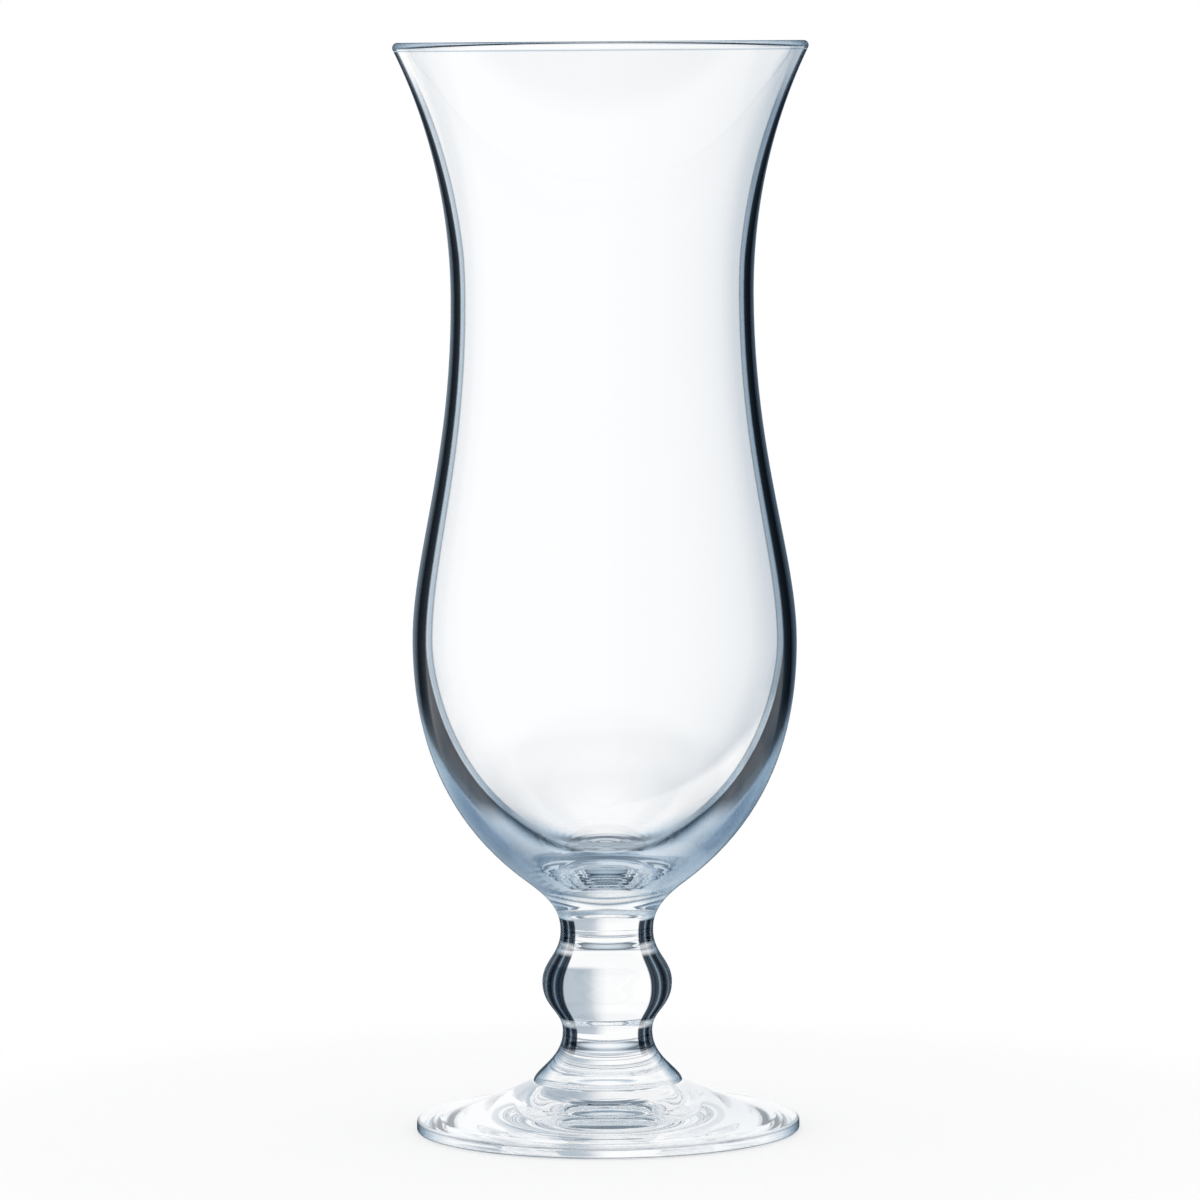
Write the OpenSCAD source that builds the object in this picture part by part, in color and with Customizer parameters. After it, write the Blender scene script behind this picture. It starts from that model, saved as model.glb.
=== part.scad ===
// Hurricane glass: a tall footed glass with a flared mouth, a drawn-in waist, a full belly
// and a short stem with one knop, standing on a round foot.
//
// It is made from three lots of clear glass that are joined while hot: the blown bowl, the
// stem with its knop, and the foot. They meet at flat weld faces, each written once, so a
// change of any diameter or height carries through to the piece that sits on it.
//
// Millimetres, +Z up. The origin is the middle of the face that the glass stands on.
// Heights are stacked: each one is measured from the station below it.

/* [Whole glass] */
// Height from the table to the top of the rim
glass_height = 205; // [192:0.1:219]

/* [Mouth] */
// Outer diameter of the rim
lip_d = 77.8; // [68:0.1:92]
// Thickness of the rounded rim
lip_wall = 1.9; // [1.2:0.1:2.6]
// Angle by which the mouth flares out from the vertical, in degrees
lip_lean = 26; // [8:1:40]

/* [Waist] */
// Outer diameter at the waist, the narrowest part of the cup
waist_d = 56.8; // [46:0.1:66]
// Wall thickness at the waist
waist_wall = 1.9; // [1.4:0.1:3.2]
// Height from the belly to the waist
waist_rise = 65; // [52:0.1:78]

/* [Belly] */
// Outer diameter of the belly, the widest part of the cup
belly_d = 72.3; // [62:0.1:88]
// Wall thickness at the belly
belly_wall = 2.6; // [1.8:0.1:4]
// Height from the slope of the base to the belly
belly_rise = 45.5; // [36:0.1:58]

/* [Base of the bowl] */
// Outer diameter half way down the slope, where the belly turns towards the neck
slope_d = 30; // [25:0.1:36]
// Angle of the slope there, from the vertical, in degrees
slope_lean = 53.6; // [42:0.1:60]
// Height from the neck to that place on the slope
slope_rise = 9.4; // [7:0.1:12]
// Height of the solid glass from the neck to the floor of the cup
floor_rise = 12.7; // [10:0.1:20]
// Diameter of the flat middle of the cup's floor
floor_d = 7; // [3:0.1:12]
// Radius that rounds the cup's floor into its wall
floor_round = 6; // [3:0.1:12]
// Angle of the cup's wall where that rounding starts, from the vertical, in degrees
floor_lean = 61.4; // [54:0.1:68]

/* [Stem] */
// Diameter of the neck, where the bowl is joined to the stem
neck_d = 17.5; // [13:0.1:22]
// Height from the knop to the neck
neck_rise = 9.8; // [7:0.1:16]
// Diameter of the knop, the ring-shaped bulge of the stem
knop_d = 24.5; // [19:0.1:32]
// Height from the shank to the knop
knop_rise = 9.3; // [7:0.1:16]
// Diameter of the shank, the narrow part under the knop
shank_d = 16.9; // [13:0.1:22]
// Height from the foot's weld face to the shank
shank_rise = 9.4; // [7:0.1:14]
// Diameter of the stem's flared end, where it is joined to the foot
weld_d = 28.1; // [23:0.1:34]
// Angle at which the flared end meets the weld face, from the vertical, in degrees
weld_lean = 10; // [0:1:25]

/* [Foot] */
// Diameter of the foot
foot_d = 72.4; // [62:0.1:88]
// Thickness of the foot at its edge
foot_edge = 2.3; // [1.9:0.1:3.2]
// Height from the top of the edge to the weld face
foot_rise = 7; // [5:0.1:10]
// Slope of the foot's top beside the stem, from the horizontal, in degrees
foot_slope = 24; // [16:1:32]
// Slope of the foot's top beside its edge, from the horizontal, in degrees
edge_slope = 3; // [0:0.5:6]
// Radius that rounds the upper corner of the edge
edge_round_top = 0.8; // [0.4:0.1:1]
// Radius that rounds the lower corner of the edge
edge_round_bottom = 0.5; // [0.2:0.1:0.8]

/* [Underside] */
// Width of the flat ring that the glass stands on
rest_width = 4.4; // [2:0.1:7]
// Depth of the hollow inside that ring
recess_depth = 1.3; // [0.5:0.1:1.8]
// Slope at which the hollow starts, from the horizontal, in degrees
recess_slope = 9; // [4:1:14]
// Diameter of the deeper dome in the middle, under the stem
punt_d = 32; // [22:0.1:40]
// Further depth of that dome
punt_depth = 0.9; // [0.3:0.1:1.6]
// Slope at which the dome starts, from the horizontal, in degrees
punt_slope = 12; // [5:1:20]

/* [Hidden] */

// Sides of a full turn, and points on each curved span and on each rounding
$fn = 128;
span_steps = 14;
nose_steps = 8;
corner_steps = 5;

// Angles of a quarter and of half a turn, in degrees
quarter_turn = 90;
half_turn = 180;

// Cubic millimetres in a millilitre
ml_volume = 1000;

// Pale blue-grey of thick clear glass
clear_glass = [0.80, 0.87, 0.92, 0.55];

// Heights above the table, from the foot up. The mouth takes what the stack leaves of the height.
edge_z = foot_edge;
weld_z = edge_z + foot_rise;
shank_z = weld_z + shank_rise;
knop_z = shank_z + knop_rise;
neck_z = knop_z + neck_rise;
slope_z = neck_z + slope_rise;
belly_z = slope_z + belly_rise;
waist_z = belly_z + waist_rise;
rim_z = glass_height;
floor_z = neck_z + floor_rise;

// How far each curve holds its direction as it leaves one station and as it reaches the
// next, both as shares of the straight distance between the two stations
mouth_shares = [0.307, 0.367];
waist_shares = [0.474, 0.251];
belly_shares = [0.276, 0.445];
slope_shares = [0.550, 0.287];
neck_shares = [0.446, 0.387];
knop_shares = [0.477, 0.385];
shank_shares = [0.485, 0.191];
foot_shares = [0.365, 0.289];
cup_shares = [0.297, 0.494];
recess_shares = [0.35, 0.35];
punt_shares = [0.35, 0.45];

// The rim is rounded by a half circle that joins the outer wall to the inner one
nose_r = lip_wall / 2;
nose_centre = [lip_d / 2 - nose_r, rim_z - nose_r];

// A station is [radius, height, lean]. Lean is the angle of the outline from straight down:
// 0 runs down, 90 runs in towards the axis, and a negative lean runs outwards.
lip_out = station_at(on_circle(nose_centre, nose_r, -lip_lean), lip_lean);
waist_out = [waist_d / 2, waist_z, 0];
belly_out = [belly_d / 2, belly_z, 0];
slope_out = [slope_d / 2, slope_z, slope_lean];
neck_out = [neck_d / 2, neck_z, 0];
knop_out = [knop_d / 2, knop_z, 0];
shank_out = [shank_d / 2, shank_z, 0];
stem_end = [weld_d / 2, weld_z, -weld_lean];

lip_in = station_at(on_circle(nose_centre, nose_r, half_turn - lip_lean), lip_lean);
waist_in = [waist_d / 2 - waist_wall, waist_z, 0];
belly_in = [belly_d / 2 - belly_wall, belly_z, 0];
floor_centre = [floor_d / 2, floor_z + floor_round];
floor_in = station_at(on_circle(floor_centre, floor_round, -floor_lean), floor_lean);

edge_top_centre = [foot_d / 2 - edge_round_top, edge_z - edge_round_top];
edge_bottom_centre = [foot_d / 2 - edge_round_bottom, edge_round_bottom];
edge_angle = quarter_turn - edge_slope;
foot_start = [weld_d / 2, weld_z, foot_slope - quarter_turn];
foot_end = station_at(on_circle(edge_top_centre, edge_round_top, edge_angle), -edge_angle);
rest_inner = [foot_d / 2 - edge_round_bottom - rest_width, 0, quarter_turn + recess_slope];
punt_reach = [punt_d / 2, recess_depth, quarter_turn];
punt_start = [punt_d / 2, recess_depth, quarter_turn + punt_slope];
punt_top = [0, recess_depth + punt_depth, quarter_turn];

// A point on a circle, at an angle counted up from the outward direction
function on_circle(centre, radius, angle) = centre + radius * [cos(angle), sin(angle)];

// A station from a point of the outline and its lean there
function station_at(point, lean) = [point.x, point.y, lean];

// Unit step along the outline for a given lean
function heading(lean) = [-sin(lean), -cos(lean)];

// Point at share t of a cubic curve with the control points a, b, c and d
function curve_point(a, b, c, d, t) =
    pow(1 - t, 3) * a + 3 * pow(1 - t, 2) * t * b + 3 * (1 - t) * t * t * c + pow(t, 3) * d;

// Curve from one station to the next, without its first point, which ends the span before
function span(from, to, shares) =
    let (start = [from.x, from.y],
         end = [to.x, to.y],
         reach = norm(end - start),
         leave = start + shares.x * reach * heading(from.z),
         arrive = end - shares.y * reach * heading(to.z))
    [for (i = [1 : span_steps]) curve_point(start, leave, arrive, end, i / span_steps)];

// Rounding from one angle to another. It has both its ends, unless it begins after the first.
function arc(centre, radius, first, last, steps, begin = 0) =
    [for (i = [begin : steps]) on_circle(centre, radius, first + (last - first) * i / steps)];

// The same points in the other order
function reversed(points) = [for (i = [len(points) - 1 : -1 : 0]) points[i]];

// Inner wall from the rim down to the middle of the floor
function cup_outline() = concat(
    span(lip_in, waist_in, mouth_shares),
    span(waist_in, belly_in, waist_shares),
    span(belly_in, floor_in, cup_shares),
    arc(floor_centre, floor_round, -floor_lean, -quarter_turn, corner_steps, begin = 1),
    [[0, floor_z]]);

// Volume of the cup when it is full to the rim, as a stack of thin cones
function cup_volume(points, i = 1) =
    i >= len(points) ? 0
    : PI * (points[i - 1].y - points[i].y)
        * (pow(points[i - 1].x, 2) + points[i - 1].x * points[i].x + pow(points[i].x, 2)) / 3
        + cup_volume(points, i + 1);

echo(height_mm = rim_z, brimful_ml = round(cup_volume(cup_outline()) / ml_volume));

// Blown cup: one flowing wall from the rim to the neck, thin at the waist and heavy at the base
module bowl() {
    color(clear_glass)
    rotate_extrude()
    polygon(concat(
        reversed(cup_outline()),
        arc(nose_centre, nose_r, half_turn - lip_lean, -lip_lean, nose_steps),
        span(lip_out, waist_out, mouth_shares),
        span(waist_out, belly_out, waist_shares),
        span(belly_out, slope_out, belly_shares),
        span(slope_out, neck_out, slope_shares),
        [[0, neck_z]]));
}

// Solid stem: neck, knop, shank and the flared end that is welded to the foot
module stem() {
    color(clear_glass)
    rotate_extrude()
    polygon(concat(
        [[0, neck_z], [neck_out.x, neck_out.y]],
        span(neck_out, knop_out, neck_shares),
        span(knop_out, shank_out, knop_shares),
        span(shank_out, stem_end, shank_shares),
        [[0, weld_z]]));
}

// Foot: a disc that sweeps up to the stem, with a flat ring to stand on and a hollow underside
module foot() {
    color(clear_glass)
    rotate_extrude()
    polygon(concat(
        [[0, weld_z], [foot_start.x, foot_start.y]],
        span(foot_start, foot_end, foot_shares),
        arc(edge_top_centre, edge_round_top, edge_angle, 0, corner_steps),
        arc(edge_bottom_centre, edge_round_bottom, 0, -quarter_turn, corner_steps),
        [[rest_inner.x, rest_inner.y]],
        span(rest_inner, punt_reach, recess_shares),
        span(punt_start, punt_top, punt_shares)));
}

bowl();
stem();
foot();
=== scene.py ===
# %% [markdown]
# # A hurricane glass, finished in Blender
#
# The glass was constructed first as three exact solids: bowl, stem and foot. This lesson gives
# that construction its looks. The solids are loaded as a fixed frame, in metres, and each
# piece made here takes the place of one of them.

# %% Load the constructed glass
import math
import bpy
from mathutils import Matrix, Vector


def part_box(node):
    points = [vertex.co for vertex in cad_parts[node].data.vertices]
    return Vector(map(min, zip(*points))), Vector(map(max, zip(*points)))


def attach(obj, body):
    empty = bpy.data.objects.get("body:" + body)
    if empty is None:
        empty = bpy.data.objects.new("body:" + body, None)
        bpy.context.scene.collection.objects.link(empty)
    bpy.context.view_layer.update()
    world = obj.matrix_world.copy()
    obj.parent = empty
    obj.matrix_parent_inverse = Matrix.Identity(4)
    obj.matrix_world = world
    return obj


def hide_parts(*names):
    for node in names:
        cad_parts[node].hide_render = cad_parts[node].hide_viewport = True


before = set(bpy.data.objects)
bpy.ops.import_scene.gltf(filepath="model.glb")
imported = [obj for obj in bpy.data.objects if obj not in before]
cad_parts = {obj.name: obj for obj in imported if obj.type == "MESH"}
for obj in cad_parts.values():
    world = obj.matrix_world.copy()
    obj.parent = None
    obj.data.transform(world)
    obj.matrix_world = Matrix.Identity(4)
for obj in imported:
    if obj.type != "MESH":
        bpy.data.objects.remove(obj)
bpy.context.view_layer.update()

MM = 0.001

# %% [markdown]
# ## The camera
#
# The photograph was taken with a long lens from the height of the rim, so the mouth is seen
# edge-on and the foot from above. A short lens nearby would fill the picture too, but it would
# show much more of the foot. A lens of about 200 mm at 1.25 m gives the flat perspective of the
# photograph. The camera leans by less than half a degree, as the one in the picture does.

# %% Set the camera
# places in metres, lens and sensor in millimetres, the lean in radians, the shift in pixels
CAMERA_BACK = 1.25
CAMERA_HEIGHT = 0.2045
AIM_HEIGHT = 0.1003
LENS = 200.07
SENSOR = 36.0
LEAN = -0.0073
PICTURE_WIDTH = 1200
SIDE_SHIFT = -4.4

bpy.ops.object.camera_add(location=(0, -CAMERA_BACK, CAMERA_HEIGHT))
camera = bpy.context.object
camera.name = "photo_camera"
camera.data.lens = LENS
camera.data.sensor_width = SENSOR
camera.data.shift_x = SIDE_SHIFT / PICTURE_WIDTH
pitch = math.atan2(CAMERA_HEIGHT - AIM_HEIGHT, CAMERA_BACK)
camera.rotation_euler = (math.pi / 2 - pitch, 0, 0)
camera.rotation_euler.rotate_axis("Z", LEAN)
bpy.context.scene.camera = camera
print("looking down by", round(math.degrees(pitch), 2), "degrees")

# %% [markdown]
# ## Stations of an outline
#
# A pressed and blown glass is a body of revolution, so one half outline says everything about
# its shape. A designer notes it as stations, such as the waist and the belly: a diameter, a
# height, and the direction in which the outline passes there.

# %% Stations
OUTWARDS, UPWARDS, INWARDS, DOWNWARDS = 0, 90, 180, -90


def station(diameter, height, travel):
    """A place on the outline, in millimetres, and its direction there in degrees."""
    return diameter / 2, height, math.radians(travel)


def on_circle(centre, radius, angle, travel):
    """A station on a rounding, at an angle counted up from outwards."""
    side = Vector((math.cos(math.radians(angle)), math.sin(math.radians(angle))))
    place = Vector(centre) + side * radius
    return station(2 * place.x, place.y, travel)


# %% [markdown]
# ## Spans between the stations
#
# The outline could be drawn point by point, but a wall that bends light shows every kink. So
# each span is one cubic curve. Two shares say how long it holds its direction as it leaves
# one station and as it reaches the next. A rounding is the same curve with the shares that
# bring it closest to a circle.

# %% Spans
def span(start, end, hold=(0.0, 0.0)):
    """Four control points from one station to the next, in metres."""
    first, last = Vector(start[:2]), Vector(end[:2])
    reach = (last - first).length
    away = Vector((math.cos(start[2]), math.sin(start[2]))) * hold[0] * reach
    into = Vector((math.cos(end[2]), math.sin(end[2]))) * hold[1] * reach
    return [point * MM for point in (first, first + away, last - into, last)]


def rounding(start, end):
    """A span that follows a circular arc between the directions at its two ends."""
    turned = (end[2] - start[2] + math.pi) % (2 * math.pi) - math.pi
    # an arc's handle is 4/3 tan(turned/4) radii long, and its chord 2 sin(turned/2) radii
    share = 2 / 3 * math.tan(abs(turned) / 4) / math.sin(abs(turned) / 2)
    return span(start, end, (share, share))


# %% [markdown]
# ## Drawing an outline
#
# The stations become the control points of a curve object in the XZ plane. A mesh outline
# could be extruded point by point instead, but the curve keeps every span smooth, and one
# value says how many points a span gets when it is converted to a chain of edges.

# %% Draw an outline
POINTS_PER_SPAN = 24


def in_plane(point):
    """A place of the outline as a place in the XZ plane."""
    return point.x, 0, point.y


def draw_outline(name, spans):
    """A smooth curve in the XZ plane, converted to a chain of edges."""
    bpy.ops.object.select_all(action="DESELECT")
    bpy.ops.curve.primitive_bezier_curve_add(location=(0, 0, 0))
    line = bpy.context.object
    line.name = name
    line.data.resolution_u = POINTS_PER_SPAN
    points = line.data.splines[0].bezier_points
    points.add(len(spans) + 1 - len(points))
    for point in points:
        point.handle_left_type = point.handle_right_type = "FREE"
    for i, (start, leaving, arriving, end) in enumerate(spans):
        points[i].co = in_plane(start)
        points[i].handle_right = in_plane(leaving)
        points[i + 1].handle_left = in_plane(arriving)
        points[i + 1].co = in_plane(end)
    bpy.ops.object.convert(target="MESH")
    return bpy.context.object


# %% [markdown]
# ## Turning an outline
#
# A Screw modifier turns the chain of edges round the Z axis, as a glass turns in its mould.
# Spin would do the same, but it is far slower on a long outline. Points that meet on the axis
# are merged, so the body is closed, and then its normals are made to point outwards.

# %% Turn an outline
FACETS = 256
SAME_POINT = 1e-7


def turn(name, spans):
    """Turns an outline round the Z axis into a closed body."""
    body = draw_outline(name, spans)
    bpy.ops.object.modifier_add(type="SCREW")
    screw = body.modifiers[-1]
    screw.steps = screw.render_steps = FACETS
    screw.use_merge_vertices = True
    screw.merge_threshold = SAME_POINT
    screw.use_smooth_shade = True
    bpy.ops.object.modifier_apply(modifier=screw.name)
    bpy.ops.object.mode_set(mode="EDIT")
    bpy.ops.mesh.select_all(action="SELECT")
    bpy.ops.mesh.remove_doubles(threshold=SAME_POINT)
    bpy.ops.mesh.normals_make_consistent(inside=False)
    bpy.ops.object.mode_set(mode="OBJECT")
    print(name, len(body.data.polygons), "faces")
    return body


# %% [markdown]
# ## The bowl
#
# The bowl is the blown cup: a rounded rim, a flared mouth, a thin waist, a full belly, and a
# base that grows heavy towards the neck. One line with a Solidify modifier would give the same
# wall everywhere. Here inner and outer wall are separate lines, because the thickness between
# them decides how wide the dark edge of the glass looks. The cup's floor is rounded a little
# wider than in the solid, which brings its dark bands to their place.

# %% The stations of the bowl
LIP_D, LIP_WALL, LIP_LEAN, RIM_Z = 77.8, 1.9, 26, 205
WAIST_D, WAIST_WALL, WAIST_Z = 56.8, 1.9, 157.7
BELLY_D, BELLY_WALL, BELLY_Z = 72.3, 2.6, 92.7
SLOPE_D, SLOPE_LEAN, SLOPE_Z = 30, 53.6, 47.2
FLOOR_D, FLOOR_ROUND, FLOOR_LEAN, FLOOR_Z = 7.1, 7.9, 67.9, 50.5
NECK_D, NECK_Z = 17.5, 37.8

lip_centre = (LIP_D / 2 - LIP_WALL / 2, RIM_Z - LIP_WALL / 2)
lip_in = on_circle(lip_centre, LIP_WALL / 2, INWARDS - LIP_LEAN, UPWARDS - LIP_LEAN)
lip_top = on_circle(lip_centre, LIP_WALL / 2, UPWARDS - LIP_LEAN, -LIP_LEAN)
lip_out = on_circle(lip_centre, LIP_WALL / 2, -LIP_LEAN, DOWNWARDS - LIP_LEAN)
waist_in = station(WAIST_D - 2 * WAIST_WALL, WAIST_Z, UPWARDS)
waist_out = station(WAIST_D, WAIST_Z, DOWNWARDS)
belly_in = station(BELLY_D - 2 * BELLY_WALL, BELLY_Z, UPWARDS)
belly_out = station(BELLY_D, BELLY_Z, DOWNWARDS)
slope_out = station(SLOPE_D, SLOPE_Z, DOWNWARDS - SLOPE_LEAN)
neck_out = station(NECK_D, NECK_Z, DOWNWARDS)
floor_centre = (FLOOR_D / 2, FLOOR_Z + FLOOR_ROUND)
floor_middle = station(0, FLOOR_Z, OUTWARDS)
floor_edge = on_circle(floor_centre, FLOOR_ROUND, DOWNWARDS, OUTWARDS)
floor_wall = on_circle(floor_centre, FLOOR_ROUND, -FLOOR_LEAN, UPWARDS - FLOOR_LEAN)
print("solid glass under the cup's floor:", round(FLOOR_Z - NECK_Z, 1), "mm")

# %% Turn the bowl
CUP_HOLD = (0.475, 0.239)
WAIST_HOLD_UP, WAIST_HOLD_DOWN = (0.251, 0.474), (0.474, 0.251)
MOUTH_HOLD_UP, MOUTH_HOLD_DOWN = (0.367, 0.307), (0.307, 0.367)
BELLY_HOLD = (0.276, 0.445)
SLOPE_HOLD = (0.550, 0.287)

bowl = turn("glass_bowl", [
    span(floor_middle, floor_edge),
    rounding(floor_edge, floor_wall),
    span(floor_wall, belly_in, CUP_HOLD),
    span(belly_in, waist_in, WAIST_HOLD_UP),
    span(waist_in, lip_in, MOUTH_HOLD_UP),
    rounding(lip_in, lip_top),
    rounding(lip_top, lip_out),
    span(lip_out, waist_out, MOUTH_HOLD_DOWN),
    span(waist_out, belly_out, WAIST_HOLD_DOWN),
    span(belly_out, slope_out, BELLY_HOLD),
    span(slope_out, neck_out, SLOPE_HOLD),
    span(neck_out, station(0, NECK_Z, INWARDS)),
])

# %% [markdown]
# ## The stem
#
# The stem is solid glass with one knop, the ring-shaped bulge that a hand finds by touch. It
# could be a cylinder with a ball on it, but drawn glass flows from one width to the next, so it
# is turned from stations too. It begins at the neck, with the diameter that the bowl has there,
# and ends in a flare.

# %% Turn the stem
KNOP_D, KNOP_Z = 24.5, 28.0
SHANK_D, SHANK_Z = 16.9, 18.7
WELD_D, WELD_Z, WELD_LEAN = 28.1, 9.3, 10
NECK_HOLD = (0.446, 0.387)
KNOP_HOLD = (0.477, 0.385)
SHANK_HOLD = (0.485, 0.191)

knop = station(KNOP_D, KNOP_Z, DOWNWARDS)
shank = station(SHANK_D, SHANK_Z, DOWNWARDS)
stem_end = station(WELD_D, WELD_Z, DOWNWARDS + WELD_LEAN)
stem = turn("glass_stem", [
    span(station(0, NECK_Z, OUTWARDS), neck_out),
    span(neck_out, knop, NECK_HOLD),
    span(knop, shank, KNOP_HOLD),
    span(shank, stem_end, SHANK_HOLD),
    span(stem_end, station(0, WELD_Z, INWARDS)),
])

# %% [markdown]
# ## The foot
#
# The foot is a disc that sweeps up to the stem. It stands on a flat ring near its edge, and the
# underside within that ring is hollow, so a rough table cannot make the glass rock. Both
# corners of the edge are rounded, because a sharp corner would show as a hard line in clear
# glass.

# %% The stations of the foot
FOOT_D, FOOT_EDGE, FOOT_SLOPE, EDGE_SLOPE = 72.4, 2.3, 24, 3
EDGE_ROUND_TOP, EDGE_ROUND_BOTTOM = 0.8, 0.5
REST_WIDTH, RECESS_DEPTH, RECESS_SLOPE = 4.4, 1.3, 9
PUNT_D, PUNT_DEPTH, PUNT_SLOPE = 32, 0.9, 12

edge_top = (FOOT_D / 2 - EDGE_ROUND_TOP, FOOT_EDGE - EDGE_ROUND_TOP)
edge_bottom = (FOOT_D / 2 - EDGE_ROUND_BOTTOM, EDGE_ROUND_BOTTOM)
foot_start = station(WELD_D, WELD_Z, OUTWARDS - FOOT_SLOPE)
foot_end = on_circle(edge_top, EDGE_ROUND_TOP, UPWARDS - EDGE_SLOPE, OUTWARDS - EDGE_SLOPE)
edge_side = on_circle(edge_top, EDGE_ROUND_TOP, OUTWARDS, DOWNWARDS)
edge_side_low = on_circle(edge_bottom, EDGE_ROUND_BOTTOM, OUTWARDS, DOWNWARDS)
rest_outer = on_circle(edge_bottom, EDGE_ROUND_BOTTOM, DOWNWARDS, INWARDS)
rest_inner = station(2 * (edge_bottom[0] - REST_WIDTH), 0, INWARDS - RECESS_SLOPE)
punt_reach = station(PUNT_D, RECESS_DEPTH, INWARDS)
punt_start = station(PUNT_D, RECESS_DEPTH, INWARDS - PUNT_SLOPE)
punt_top = station(0, RECESS_DEPTH + PUNT_DEPTH, INWARDS)
print("glass above the hollow of the foot:", round(WELD_Z - RECESS_DEPTH - PUNT_DEPTH, 1), "mm")

# %% Turn the foot
FOOT_HOLD = (0.365, 0.289)
RECESS_HOLD = (0.35, 0.35)
PUNT_HOLD = (0.35, 0.45)

foot = turn("glass_foot", [
    span(station(0, WELD_Z, OUTWARDS), foot_start),
    span(foot_start, foot_end, FOOT_HOLD),
    rounding(foot_end, edge_side),
    span(edge_side, edge_side_low),
    rounding(edge_side_low, rest_outer),
    span(rest_outer, rest_inner),
    span(rest_inner, punt_reach, RECESS_HOLD),
    span(punt_start, punt_top, PUNT_HOLD),
])

# %% [markdown]
# ## The pieces stand for the solids
#
# Each turned piece replaces the solid of the same name and rides on the one rigid body. The
# printed boxes have to agree, because these pieces may not change the size of the glass.

# %% Stand for the solids
LOW_CORNER, HIGH_CORNER = 0, 6  # two of the eight corners that an object's bound_box lists


def in_mm(low, high):
    """Two corners of a box in millimetres."""
    return [round(v / MM, 2) for v in (*low, *high)]


for piece, node in ((bowl, "bowl"), (stem, "stem"), (foot, "foot")):
    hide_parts(node)
    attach(piece, "root")
    print(node, "piece", in_mm(piece.bound_box[LOW_CORNER], piece.bound_box[HIGH_CORNER]))

# %% [markdown]
# ## Small helpers for nodes
#
# A material is a graph of nodes, and written out node by node a graph soon fills a page. A few
# helpers keep the materials below readable. They make a material, a Math node, a Color Ramp
# from a list of places and colours, and a mix of two colours or of two shaders.

# %% Helpers for materials and numbers
def make_material(name):
    """A new material, its graph and the plain shader in it."""
    material = bpy.data.materials.new(name)
    material.use_nodes = True
    return material, material.node_tree, material.node_tree.nodes["Principled BSDF"]


def connect(tree, value, socket):
    """Feeds an input with a number, a colour or the output of another node."""
    if isinstance(value, bpy.types.NodeSocket):
        tree.links.new(value, socket)
    elif isinstance(value, tuple):
        socket.default_value = (*value, 1)
    else:
        socket.default_value = value


def math_node(tree, operation, *values):
    """A Math node. Each value is a number or the output of another node."""
    made = tree.nodes.new("ShaderNodeMath")
    made.operation = operation
    for value, socket in zip(values, made.inputs):
        connect(tree, value, socket)
    return made.outputs[0]


def rest_of(tree, share):
    """What a share leaves of the whole."""
    return math_node(tree, "SUBTRACT", 1.0, share)


# %% Helpers for colours and shaders
def ramp_node(tree, value, stops):
    """A Color Ramp over (place, colour) pairs. A plain number stands for a grey."""
    made = tree.nodes.new("ShaderNodeValToRGB")
    elements = made.color_ramp.elements
    while len(elements) < len(stops):
        elements.new(1.0)
    for element, (place, colour) in zip(elements, stops):
        element.position = place
        element.color = (colour, colour, colour, 1) if isinstance(colour, float) else (*colour, 1)
    tree.links.new(value, made.inputs["Fac"])
    return made.outputs["Color"]


def mixed(tree, share, first, second):
    """A mix of two colours, each a colour or the output of a node."""
    mix = tree.nodes.new("ShaderNodeMix")
    mix.data_type = "RGBA"
    tree.links.new(share, mix.inputs["Factor"])
    connect(tree, first, mix.inputs["A"])
    connect(tree, second, mix.inputs["B"])
    return mix.outputs["Result"]


def mixed_shader(tree, share, first, second):
    """A mix of two shaders."""
    mix = tree.nodes.new("ShaderNodeMixShader")
    for value, socket in zip((share, first, second), mix.inputs):
        tree.links.new(value, socket)
    return mix.outputs["Shader"]


def to_surface(tree, shader):
    """Makes a shader the surface of its material."""
    tree.links.new(shader, tree.nodes["Material Output"].inputs["Surface"])


# %% [markdown]
# ## Clear glass
#
# Clear glass has almost no colour of its own: what is seen in it is the room, bent by its
# surfaces. A photographer sets black cards beside the glass so that its edges read. Cards serve
# one camera only, so here the glass itself does most of that job: its dark edges and lines are
# painted shade and painted reflection in the glass's colour, from pale blue-grey to ink.
#
# Light that is caught in a thin wall can turn there for ever. After a set number of turns the
# renderer gives up and leaves a black patch, so before that the surface lets such light out.

# %% A glass whose colour carries painted shade
IOR = 1.52
MOST_TURNS = 14
# linear red, green and blue, from clear to nearly black; most are painted shade in the glass
CLEAR = (0.996, 0.998, 1.0)
PALE = (0.66, 0.74, 0.81)
MIST = (0.485, 0.591, 0.679)
BLUE_GREY = (0.283, 0.371, 0.456)
STEEL = (0.162, 0.209, 0.251)
SLATE = (0.058, 0.080, 0.105)
NAVY = (0.023, 0.033, 0.048)
INK = (0.008, 0.012, 0.018)


def glass_material(name):
    """Smooth clear glass. Its colour tints what it lets through and what it mirrors."""
    material, tree, shader = make_material(name)
    tree.nodes.remove(shader)
    glass = tree.nodes.new("ShaderNodeBsdfGlass")
    glass.inputs["Color"].default_value = (*CLEAR, 1)
    glass.inputs["Roughness"].default_value = 0.0
    glass.inputs["IOR"].default_value = IOR
    turns = tree.nodes.new("ShaderNodeLightPath").outputs["Ray Depth"]
    caught = math_node(tree, "GREATER_THAN", turns, MOST_TURNS)
    way_out = tree.nodes.new("ShaderNodeBsdfTransparent")
    to_surface(tree, mixed_shader(tree, caught, glass.outputs["BSDF"], way_out.outputs["BSDF"]))
    return material, tree, glass


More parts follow.
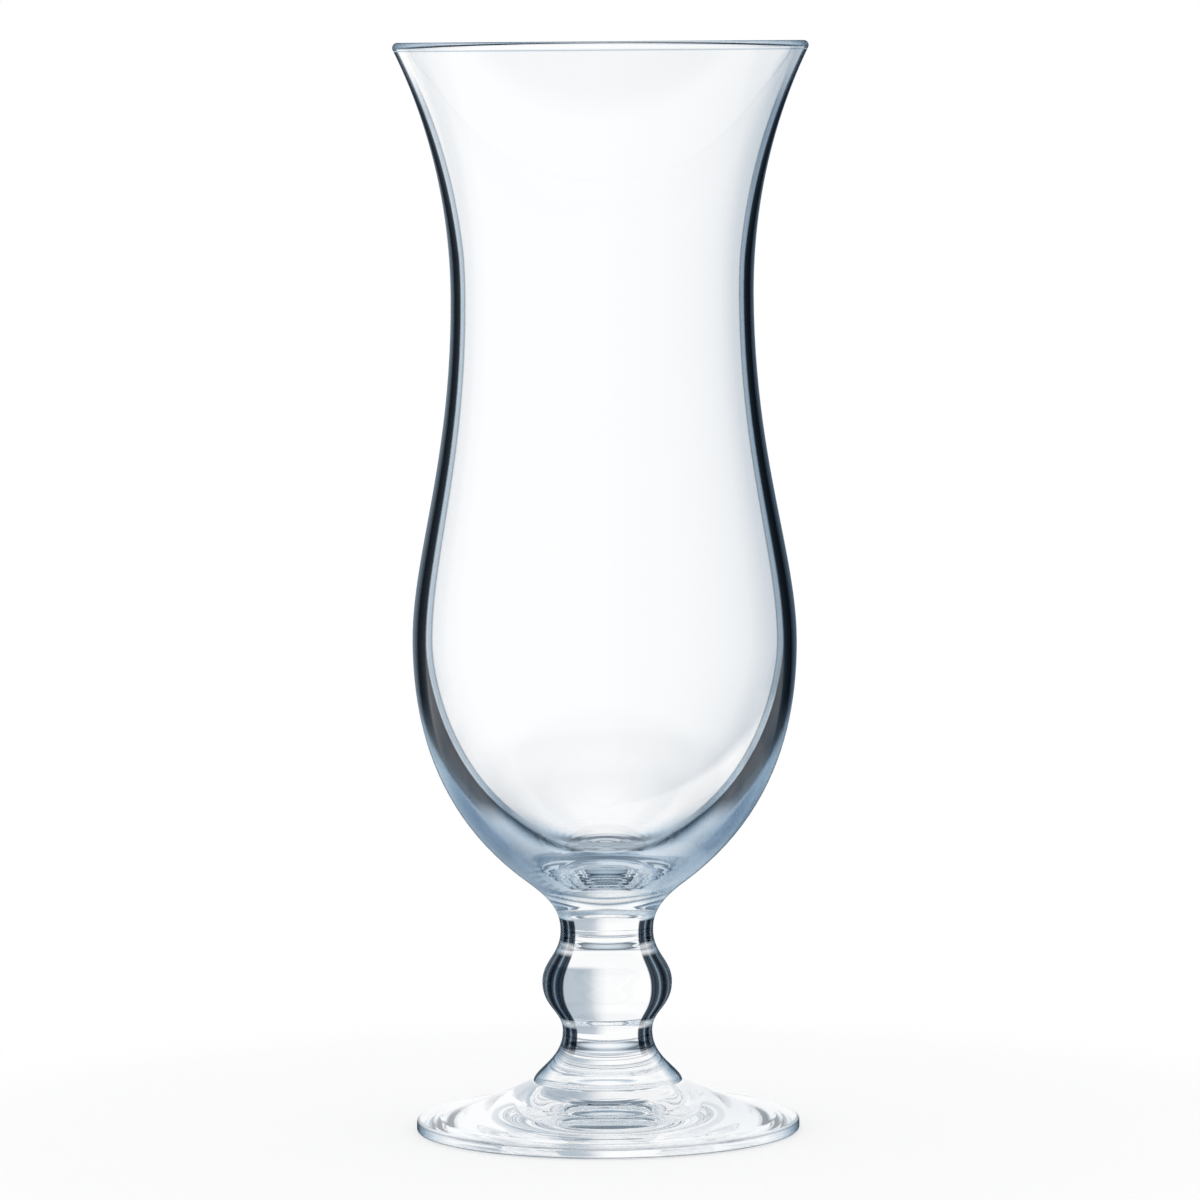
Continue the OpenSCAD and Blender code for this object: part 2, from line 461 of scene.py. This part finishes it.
# %% [markdown]
# ## Where the painted shade begins
#
# The dark edge of a glass lies where light meets its surface at a flat angle. Here it is
# painted shade in the glass's colour. Painting it on the mesh would fix it to one side. Layer
# Weight gives the angle from any side instead, and it can be measured against another direction
# than the surface's own, such as straight out from the axis. Geometry tells whether light comes
# from the air or from within the glass, and a fade by height keeps each painted shade to its part
# of the piece.

# %% Angle and side
EVEN_BLEND = 0.5  # here Facing is one minus the cosine of the angle


def tilt(tree, normal=None):
    """How flat light meets the surface: 0 is straight on, 1 is along it."""
    weight = tree.nodes.new("ShaderNodeLayerWeight")
    weight.inputs["Blend"].default_value = EVEN_BLEND
    if normal:
        tree.links.new(normal, weight.inputs["Normal"])
    return weight.outputs["Facing"]


def two_sided(tree, from_air, from_glass):
    """One colour for light that comes from the air, another for light within the glass."""
    within = tree.nodes.new("ShaderNodeNewGeometry").outputs["Backfacing"]
    return mixed(tree, within, from_air, from_glass)


# %% Place on the piece
LEVEL_ONLY = (1, 1, 0)


def object_place(tree):
    """The place on the piece, in metres."""
    return tree.nodes.new("ShaderNodeTexCoord").outputs["Object"]


def vector_node(tree, operation, value):
    """A Vector Math node that works on the output of another node."""
    made = tree.nodes.new("ShaderNodeVectorMath")
    made.operation = operation
    tree.links.new(value, made.inputs[0])
    return made


def from_axis(tree):
    """The level way from the axis to the place."""
    level = vector_node(tree, "MULTIPLY", object_place(tree))
    level.inputs[1].default_value = LEVEL_ONLY
    return level.outputs["Vector"]


def straight_out(tree):
    """The level direction away from the axis."""
    return vector_node(tree, "NORMALIZE", from_axis(tree)).outputs["Vector"]


def axis_distance(tree):
    """How far the place is from the axis, in metres."""
    return vector_node(tree, "LENGTH", from_axis(tree)).outputs["Value"]


# %% Fades
def fade(tree, value, near, far, course="SMOOTHSTEP"):
    """0 up to near, 1 from far on, smooth or even between."""
    made = tree.nodes.new("ShaderNodeMapRange")
    made.interpolation_type = course
    made.inputs["From Min"].default_value = near
    made.inputs["From Max"].default_value = far
    tree.links.new(value, made.inputs["Value"])
    return made.outputs["Result"]


def height(tree, low, high, course="SMOOTHSTEP"):
    """0 below one height and 1 above another, in millimetres."""
    parts = tree.nodes.new("ShaderNodeSeparateXYZ")
    tree.links.new(object_place(tree), parts.inputs[0])
    return fade(tree, parts.outputs["Z"], low * MM, high * MM, course)


# %% [markdown]
# ## The edge of the outer wall
#
# Seen from outside, the thin upper wall has a dark edge with a grey line at its very outline,
# and in the heavy base the same edge is pale. Both are painted shade and painted reflection, each
# a list of tones over the angle, from straight on to along the surface. Where the mouth flares,
# the angle is taken back a little, so that the painted dark edge grows fine towards the rim.

# %% Painted shade of the outer wall
# painted shade and painted reflection of the wall's edge, over the angle
PAINTED_EDGE_ABOVE = [
    (0.0, CLEAR), (0.625, CLEAR), (0.655, STEEL), (0.70, SLATE), (0.765, NAVY), (0.795, STEEL),
    (0.86, BLUE_GREY), (1.0, BLUE_GREY)]
PAINTED_EDGE_BELOW = [
    (0.0, CLEAR), (0.46, CLEAR), (0.58, PALE), (0.68, MIST), (0.86, MIST), (0.94, STEEL),
    (1.0, STEEL)]
# heights in millimetres, from and to
EDGE_FADE = (68, 84)
FLARE = (165, 204)
EDGE_SHIFT = 0.16


def eased(tree, value, shift):
    """Takes an angle back by up to shift where the mouth flares."""
    back = math_node(tree, "MULTIPLY", height(tree, *FLARE, course="LINEAR"), shift)
    return math_node(tree, "SUBTRACT", value, back)


# %% [markdown]
# ## The rim
#
# The rim is polished by fire into a half round. It shows as a fine dark line along the top, with
# a pale line at its foot, and both are painted reflection and painted shade. A ring of its own
# would put a seam in the glass, so both painted lines are mixed into the wall's painted shade by
# height, inside and outside alike.

# %% Painted lines of the rim
RIM_FADE = (203.6, 203.9)
# painted dark line along the top of the rim, over the angle
PAINTED_RIM_LINE = [(0.0, CLEAR), (0.35, CLEAR), (0.50, PALE), (0.75, BLUE_GREY), (1.0, SLATE)]
RIM_FOOT = (202.9, 203.9)
PAINTED_RIM_FOOT_LINE = [(0.0, 0.0), (0.3, 0.0), (0.5, 1.0), (0.7, 0.0), (1.0, 0.0)]


def painted_rim_lines(tree, colour):
    """The colour of the wall, and fine painted lines of shade and reflection on the rounded rim.
    """
    foot_line = ramp_node(tree, height(tree, *RIM_FOOT, course="LINEAR"), PAINTED_RIM_FOOT_LINE)
    colour = mixed(tree, foot_line, colour, MIST)
    return mixed(tree, height(tree, *RIM_FADE), colour, ramp_node(tree, tilt(tree), PAINTED_RIM_LINE))


# %% [markdown]
# ## The glass of the outer wall
#
# The painted shades are now mixed by height. On the upper wall the angle is measured against the
# direction straight out from the axis, which keeps the painted dark edge even where the wall
# leans.
# At the neck the painted dark sides of the solid stem begin, a little above the weld, so that the
# weld does not show.

# %% The glass of the outer wall
# painted shade of the solid stem's dark sides, with painted pale lines, over the angle
PAINTED_STEM_SIDES = [
    (0.0, CLEAR), (0.262, CLEAR), (0.280, STEEL), (0.287, NAVY), (0.31, SLATE), (0.34, NAVY),
    (0.40, SLATE), (0.43, BLUE_GREY), (0.46, SLATE), (0.52, INK), (0.60, NAVY), (0.68, STEEL),
    (0.75, SLATE), (1.0, STEEL)]
NECK_FADE = (40.1, 40.7)

wall_glass, tree, shader = glass_material("clear_glass")
level_tilt = tilt(tree, straight_out(tree))
above = ramp_node(tree, eased(tree, level_tilt, EDGE_SHIFT), PAINTED_EDGE_ABOVE)
below = ramp_node(tree, tilt(tree), PAINTED_EDGE_BELOW)
neck = ramp_node(tree, level_tilt, PAINTED_STEM_SIDES)
below = mixed(tree, height(tree, *NECK_FADE), neck, below)
wall = mixed(tree, height(tree, *EDGE_FADE), below, above)
tree.links.new(two_sided(tree, painted_rim_lines(tree, wall), CLEAR), shader.inputs["Color"])
print(wall_glass.name, "has", len(tree.nodes), "nodes")

# %% [markdown]
# ## The painted bands of the inner wall
#
# Light within the wall that meets its inner surface beyond the critical angle is thrown back.
# That is the dark band along each side of the cup, with a thin line and a pale one just before
# it. It could be left to the room, but a white room gives a white band, so the band is painted
# shade in the glass's colour where the tilt passes the critical one. In the heavy base the
# painted band grows paler, and towards the floor of the cup it almost fades out.

# %% Painted shade of the inner wall
# painted shade of the band, over the tilt of light within the glass
PAINTED_BAND_ABOVE = [
    (0.0, CLEAR), (0.2280, CLEAR), (0.231, STEEL), (0.2345, MIST), (0.242, MIST), (0.2465, PALE),
    (0.248, INK), (0.265, NAVY), (0.280, INK), (0.300, NAVY), (0.308, SLATE), (0.318, PALE),
    (0.36, CLEAR), (1.0, CLEAR)]
PAINTED_BAND_BASE = [
    (0.0, CLEAR), (0.2280, CLEAR), (0.231, BLUE_GREY), (0.2465, MIST), (0.248, NAVY),
    (0.265, SLATE), (0.280, SLATE), (0.300, STEEL), (0.308, STEEL), (0.318, PALE), (0.36, CLEAR),
    (1.0, CLEAR)]
PAINTED_BAND_FLOOR = [
    (0.0, CLEAR), (0.195, CLEAR), (0.225, PALE), (0.2465, PALE), (0.248, BLUE_GREY),
    (0.258, MIST), (0.270, PALE), (0.40, PALE), (0.60, CLEAR), (1.0, CLEAR)]

critical_angle = math.asin(1 / IOR)
print("critical angle", round(math.degrees(critical_angle), 1), "degrees")
print("critical tilt", round(1 - math.cos(critical_angle), 4))

# %% [markdown]
# ## The glass of the inner wall
#
# Only light that comes from inside the glass gets the painted shade here. Light that runs steeply
# up or down in the wall has to stay bright, because the heavy base is lit by it, so the painted
# shade is kept to level light. Close to the rim it fades out, because light turns there many
# times, and each turn would darken it again.

# %% The glass of the inner wall
BAND_SHIFT = 0.025
FLOOR_FADE = (61, 66)
BASE_FADE = (63, 75)
LIP_FADE = (192.0, 202.0)
LEVEL_FADE = (0.45, 0.62)  # tilt from straight up


def upright(tree):
    """The direction straight up."""
    up = tree.nodes.new("ShaderNodeCombineXYZ")
    up.inputs["Z"].default_value = 1
    return up.outputs[0]


cup_glass, tree, shader = glass_material("cup_wall_glass")
painted_band = ramp_node(tree, eased(tree, tilt(tree), BAND_SHIFT), PAINTED_BAND_ABOVE)
painted_band = mixed(tree, height(tree, *BASE_FADE), ramp_node(tree, tilt(tree), PAINTED_BAND_BASE), painted_band)
level_light = fade(tree, tilt(tree, upright(tree)), *LEVEL_FADE)
painted_band = mixed(tree, level_light, CLEAR, painted_band)
painted_band = mixed(tree, height(tree, *FLOOR_FADE), ramp_node(tree, tilt(tree), PAINTED_BAND_FLOOR), painted_band)
painted_band = mixed(tree, height(tree, *LIP_FADE), painted_band, CLEAR)
tree.links.new(two_sided(tree, painted_rim_lines(tree, CLEAR), painted_band), shader.inputs["Color"])
print(cup_glass.name, "has", len(tree.nodes), "nodes")

# %% [markdown]
# ## Ripples of the floor
#
# The bowl is pressed before it is blown, and the chilled middle of its floor keeps faint rings.
# Such rings lie under the foot too. They are far shallower than a hair, yet thick glass bends
# light so strongly that they draw swirls. In the mesh they would need a very fine grid, so a
# Wave Texture of rings round the Z axis drives a Bump node. The rings fade out with the
# distance from the axis.

# %% Ripples
RING_PERIOD = 1.3
RING_DEPTH = 0.026
RING_WOBBLE = 1.6
WOBBLE_DETAIL = 1.0
WOBBLE_SCALE = 0.35
STEADY_SHARE = 0.4
WAVE_TURN = 20  # a Wave Texture turns through this many radians per metre at scale 1


def ripple(tree, shader, reach, top_fade, depth):
    """Concentric rings within a radius and below a height, all in millimetres."""
    rings = tree.nodes.new("ShaderNodeTexWave")
    rings.wave_type = "RINGS"
    rings.rings_direction = "Z"
    rings.inputs["Scale"].default_value = 2 * math.pi / (WAVE_TURN * RING_PERIOD * MM)
    rings.inputs["Distortion"].default_value = RING_WOBBLE
    rings.inputs["Detail"].default_value = WOBBLE_DETAIL
    rings.inputs["Detail Scale"].default_value = WOBBLE_SCALE
    tree.links.new(object_place(tree), rings.inputs["Vector"])
    outside = fade(tree, axis_distance(tree), STEADY_SHARE * reach * MM, reach * MM)
    near_axis = rest_of(tree, outside)
    low_down = rest_of(tree, height(tree, *top_fade))
    bump = tree.nodes.new("ShaderNodeBump")
    bump.inputs["Distance"].default_value = depth * MM
    tree.links.new(math_node(tree, "MULTIPLY", near_axis, low_down), bump.inputs["Strength"])
    tree.links.new(rings.outputs["Fac"], bump.inputs["Height"])
    tree.links.new(bump.outputs["Normal"], shader.inputs["Normal"])


# %% Ripples on the floor of the cup
FLOOR_RINGS_REACH = 15
FLOOR_RINGS_TOP = (56, 60)

ripple(tree, shader, FLOOR_RINGS_REACH, FLOOR_RINGS_TOP, RING_DEPTH)
print("about", round(FLOOR_RINGS_REACH / RING_PERIOD), "rings on the floor of the cup")

# %% [markdown]
# ## The stem's glass
#
# A solid stem shows a bright window in its middle and dark sides, because it works as a strong
# lens; here the dark sides are painted shade in the glass's colour. The sides of that window stay
# upright while the surface bulges, so the tilt is measured against the direction straight out
# from the axis. Above and below the knop, pale lines break the painted sides, and in the flare
# they give way to a softer painted edge. A list of shares over the height says how much of the
# painted dark sides shows.

# %% The glass of the stem
# painted softer edge of the flare, over the angle
PAINTED_STEM_END = [
    (0.0, CLEAR), (0.45, CLEAR), (0.62, MIST), (0.80, BLUE_GREY), (0.86, SLATE), (1.0, STEEL)]
STEM_TOP = 41.0
# how much painted shade shows at each height in millimetres; the dips are painted pale lines
SIDE_SHARES = [
    (0.0, 0.0), (14.5, 0.0), (16.4, 1.0), (19.7, 1.0), (20.2, 0.25), (21.0, 0.35), (21.6, 1.0),
    (33.6, 1.0), (34.4, 0.2), (35.0, 0.6), (35.5, 0.2), (36.2, 1.0), (STEM_TOP, 1.0)]

stem_glass, tree, shader = glass_material("stem_glass")
level_tilt = tilt(tree, straight_out(tree))
painted_sides = ramp_node(tree, level_tilt, PAINTED_STEM_SIDES)
flare = ramp_node(tree, level_tilt, PAINTED_STEM_END)
stem_height = height(tree, 0, STEM_TOP, course="LINEAR")
share = ramp_node(tree, stem_height, [(z / STEM_TOP, value) for z, value in SIDE_SHARES])
painted_sides = mixed(tree, share, flare, painted_sides)
tree.links.new(two_sided(tree, painted_sides, CLEAR), shader.inputs["Color"])
print(stem_glass.name, "has", len(tree.nodes), "nodes")

# %% [markdown]
# ## The foot's glass
#
# The foot lies almost flat to the eye, so painted shade by the angle of its surface would darken
# all of it. Only the side of its edge gets painted shade, by the angle from straight out, and two
# fine painted dark lines follow the corners of the edge. The faint rings of its underside are much
# shallower than those of the cup's floor.

# %% The glass of the foot
# painted shade on the side of the foot's edge, over the angle from straight out
FOOT_EDGE_PAINTED_SHADE = [
    (0.0, CLEAR), (0.45, CLEAR), (0.60, PALE), (0.75, BLUE_GREY), (0.90, SLATE), (1.0, STEEL)]
FOOT_EDGE_PAINTED_SHADE_FADE = (1.7, 2.4)
# two fine painted dark lines at the corners of the edge, over the height
PAINTED_CORNER_LINES = [
    (0.0, 0.0), (0.04, 0.0), (0.10, 0.9), (0.20, 0.0), (0.70, 0.0), (0.80, 0.5), (0.90, 0.0),
    (1.0, 0.0)]
PAINTED_CORNER_LINES_TOP = 2.4
FOOT_RINGS_REACH = 18
FOOT_RINGS_TOP = (2.5, 3.5)
FOOT_RINGS_SHARE = 0.25

foot_glass, tree, shader = glass_material("foot_glass")
painted_sides = ramp_node(tree, tilt(tree, straight_out(tree)), FOOT_EDGE_PAINTED_SHADE)
painted_sides = mixed(tree, height(tree, *FOOT_EDGE_PAINTED_SHADE_FADE), painted_sides, CLEAR)
lines = ramp_node(tree, height(tree, 0, PAINTED_CORNER_LINES_TOP, course="LINEAR"), PAINTED_CORNER_LINES)
painted_sides = mixed(tree, lines, painted_sides, STEEL)
tree.links.new(two_sided(tree, painted_sides, CLEAR), shader.inputs["Color"])
ripple(tree, shader, FOOT_RINGS_REACH, FOOT_RINGS_TOP, FOOT_RINGS_SHARE * RING_DEPTH)
print(foot_glass.name, "has", len(tree.nodes), "nodes")

# %% [markdown]
# ## The inside of the welds
#
# Bowl, stem and foot are fused while hot. Each mesh is closed, so two flat faces lie on each
# other inside the glass, where the real one has no surface at all. Leaving them out would open
# the meshes, so they get a shader that lets light straight through.

# %% The inside of the welds
WELD_TOLERANCE = 0.01 * MM

fused_glass, tree, shader = make_material("fused_glass")
tree.nodes.remove(shader)
to_surface(tree, tree.nodes.new("ShaderNodeBsdfTransparent").outputs["BSDF"])
weld_heights = (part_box("bowl")[0].z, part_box("foot")[1].z)
print("welds at", [round(level / MM, 2) for level in weld_heights], "mm")


def is_weld(piece, face):
    """True for a face that lies flat at the height of a weld."""
    heights = [piece.data.vertices[v].co.z for v in face.vertices]
    return any(max(abs(z - level) for z in heights) < WELD_TOLERANCE for level in weld_heights)


# %% [markdown]
# ## Which face gets which glass
#
# The bowl is one closed mesh with two walls, and each wall has its own tints. The faces are
# sorted by where they look: those of the inner wall look towards the axis, and those of the
# cup's floor look up. They could be picked by their number, but that would change with the
# outline.

# %% Give every face its glass
LOOKS_UP = 0.99
OUTER, WELD, INNER = 0, 1, 2


def looks_inwards(face):
    """True for the wall and floor of the cup."""
    outward = face.normal.x * face.center.x + face.normal.y * face.center.y
    return outward < 0 or (face.normal.z > LOOKS_UP and face.center.z < BELLY_Z * MM)


for piece, outer_glass in ((bowl, wall_glass), (stem, stem_glass), (foot, foot_glass)):
    piece.data.materials.clear()
    for material in (outer_glass, fused_glass, cup_glass):
        piece.data.materials.append(material)
    for face in piece.data.polygons:
        if is_weld(piece, face):
            face.material_index = WELD
        elif piece is bowl and looks_inwards(face):
            face.material_index = INNER
    indices = [face.material_index for face in piece.data.polygons]
    counts = [indices.count(kind) for kind in (OUTER, WELD, INNER)]
    print(piece.name, "outer, weld and inner faces:", counts)

# %% [markdown]
# ## The table
#
# The glass stands on a plain white surface, a round sheet that is wider than the picture. It
# lies a hair below the resting ring of the foot, because two faces in one plane would shade
# each other.

# %% Lay the table
TABLE_RADIUS = 0.45
TABLE_GAP = 0.05 * MM

bpy.ops.object.select_all(action="DESELECT")
bpy.ops.mesh.primitive_circle_add(
    vertices=FACETS, radius=TABLE_RADIUS, fill_type="NGON", location=(0, 0, -TABLE_GAP))
table = bpy.context.object
table.name = "table_top"
print(table.name, "is", 2 * TABLE_RADIUS, "m wide")

# %% [markdown]
# ## The white of the table
#
# Near the glass the camera sees a plain diffuse white that takes its shadow, and further out it
# turns into the white of the background. Light that the glass has bent sees the table as a
# glow with painted shade where it is met steeply, and that painted shade draws the level lines of
# the stem. Further out such light passes through the table and sees the room. Diffuse light sees
# no glow, so the table does not light itself.

# %% The white of the table
TABLE_WHITE = (0.98, 0.985, 0.99)
LEAST_WHITE = 0.6  # share of the background's white right beside the glass
# distances from the axis in metres, from and to
SHADOW_REACH = (0.07, 0.16)
TABLE_REACH = (0.10, 0.13)
# painted shade in the glow, by how steeply bent light meets the table
STEEP_PAINTED_SHADE = [
    (0.0, 1.0), (0.08, PALE), (0.20, STEEL), (0.28, SLATE), (0.36, PALE), (0.42, 1.0), (1.0, 1.0)]


def bent_ray(tree):
    """1 for light that glass has bent or reflected, 0 for what the camera sees directly."""
    path = tree.nodes.new("ShaderNodeLightPath").outputs
    return math_node(tree, "MAXIMUM", path["Is Glossy Ray"], path["Is Transmission Ray"])


paper, tree, shader = make_material("white_table")
connect(tree, TABLE_WHITE, shader.inputs["Base Color"])
shader.inputs["Roughness"].default_value = 1.0
shader.inputs["Specular IOR Level"].default_value = 0.0
glow = tree.nodes.new("ShaderNodeEmission")
tree.links.new(ramp_node(tree, tilt(tree), STEEP_PAINTED_SHADE), glow.inputs["Color"])

bent = bent_ray(tree)
radius = axis_distance(tree)
diffuse = tree.nodes.new("ShaderNodeLightPath").outputs["Is Diffuse Ray"]
far_out = math_node(tree, "MAXIMUM", fade(tree, radius, *SHADOW_REACH), LEAST_WHITE)
far_out = math_node(tree, "MULTIPLY", far_out, rest_of(tree, diffuse))
white_share = math_node(tree, "MAXIMUM", far_out, bent)
surface = mixed_shader(tree, white_share, shader.outputs["BSDF"], glow.outputs["Emission"])
opened = math_node(tree, "MULTIPLY", fade(tree, radius, *TABLE_REACH), bent)
clear = tree.nodes.new("ShaderNodeBsdfTransparent")
to_surface(tree, mixed_shader(tree, opened, surface, clear.outputs["BSDF"]))
table.data.materials.append(paper)
print(paper.name, "has", len(tree.nodes), "nodes")

# %% [markdown]
# ## The studio
#
# The room is white, and it could be white all round, but then nothing would shade the glass
# from one side to the other. So its brightness changes with the direction. Two weak cards stand
# behind the glass, left and right of the camera's line, and a soft gradient shades the right
# side. High up and at two levels below the horizon the room stays white, and a strip in the
# ceiling is dark, for the level lines of the stem. Only light that the glass has bent can see
# any of this.

# %% Brightness by direction
WHITE = (1, 1, 1)
TONES = [(0.0, NAVY), (0.5, BLUE_GREY), (1.0, WHITE)]
# brightness by azimuth in degrees, clockwise from straight behind
CARDS = [
    (-180, 1.0), (-66, 1.0), (-60, 0.85), (-46, 0.85), (-40, 1.0), (0, 1.0), (4, 0.93),
    (7, 0.85), (11, 0.68), (16, 0.62), (40, 0.58), (46, 0.7), (60, 0.8), (66, 1.0), (180, 1.0)]
# the least brightness by elevation in degrees
LIFT = [
    (-90, 1.0), (-70, 1.0), (-58, 0.0), (-39, 0.0), (-28, 1.0), (-21, 1.0), (-11, 0.0),
    (16, 0.0), (36, 0.85), (50, 1.0), (90, 1.0)]
# the most brightness by elevation in degrees
CEILING = [(-90, 1.0), (34, 1.0), (42, 0.3), (52, 0.3), (62, 1.0), (90, 1.0)]
MIDDLE = 0.5  # an angle of zero lies in the middle of its ramp


def degrees_ramp(tree, radians, stops):
    """A ramp over an angle in degrees, from one end of its circle or half circle to the other."""
    half = stops[-1][0]
    share = math_node(tree, "MULTIPLY_ADD", radians, math.degrees(1) / (2 * half), MIDDLE)
    return ramp_node(tree, share, [((angle + half) / (2 * half), value) for angle, value in stops])


# %% The world of the studio
world = bpy.data.worlds.new("studio")
bpy.context.scene.world = world
world.use_nodes = True
world.cycles.sampling_method = "NONE"
tree = world.node_tree
tree.nodes.clear()
direction = tree.nodes.new("ShaderNodeTexCoord").outputs["Generated"]
split = tree.nodes.new("ShaderNodeSeparateXYZ")
tree.links.new(direction, split.inputs[0])

azimuth = math_node(tree, "ARCTAN2", split.outputs["X"], split.outputs["Y"])
elevation = math_node(tree, "ARCSINE", split.outputs["Z"])
cards = degrees_ramp(tree, azimuth, CARDS)
brightness = math_node(tree, "MAXIMUM", cards, degrees_ramp(tree, elevation, LIFT))
brightness = math_node(tree, "MINIMUM", brightness, degrees_ramp(tree, elevation, CEILING))
tone = ramp_node(tree, brightness, TONES)
print(world.name, "has", len(tree.nodes), "nodes so far")

# %% [markdown]
# ## Plain light for the rest
#
# The camera and the table see a plain white room of strength 1, so the background is white and
# no colour is washed out. Paths of light in thick glass are long, so more bounces are allowed
# than the usual twelve, or parts of the base and the stem would turn black.

# %% Light and bounces
LONG_PATH = 32
MIRRORED_PATH = 24
CLEAR_PATH = 16


def background(tree, colour):
    """Light of strength 1, in one colour or in the colours of a node."""
    made = tree.nodes.new("ShaderNodeBackground")
    connect(tree, colour, made.inputs["Color"])
    return made.outputs["Background"]


light = mixed_shader(tree, bent_ray(tree), background(tree, WHITE), background(tree, tone))
output = tree.nodes.new("ShaderNodeOutputWorld")
tree.links.new(light, output.inputs["Surface"])

bpy.context.scene.view_settings.view_transform = "Standard"
bpy.context.scene.cycles.max_bounces = LONG_PATH
bpy.context.scene.cycles.transmission_bounces = LONG_PATH
bpy.context.scene.cycles.glossy_bounces = MIRRORED_PATH
bpy.context.scene.cycles.transparent_max_bounces = CLEAR_PATH
print("paths of light have up to", LONG_PATH, "bounces")
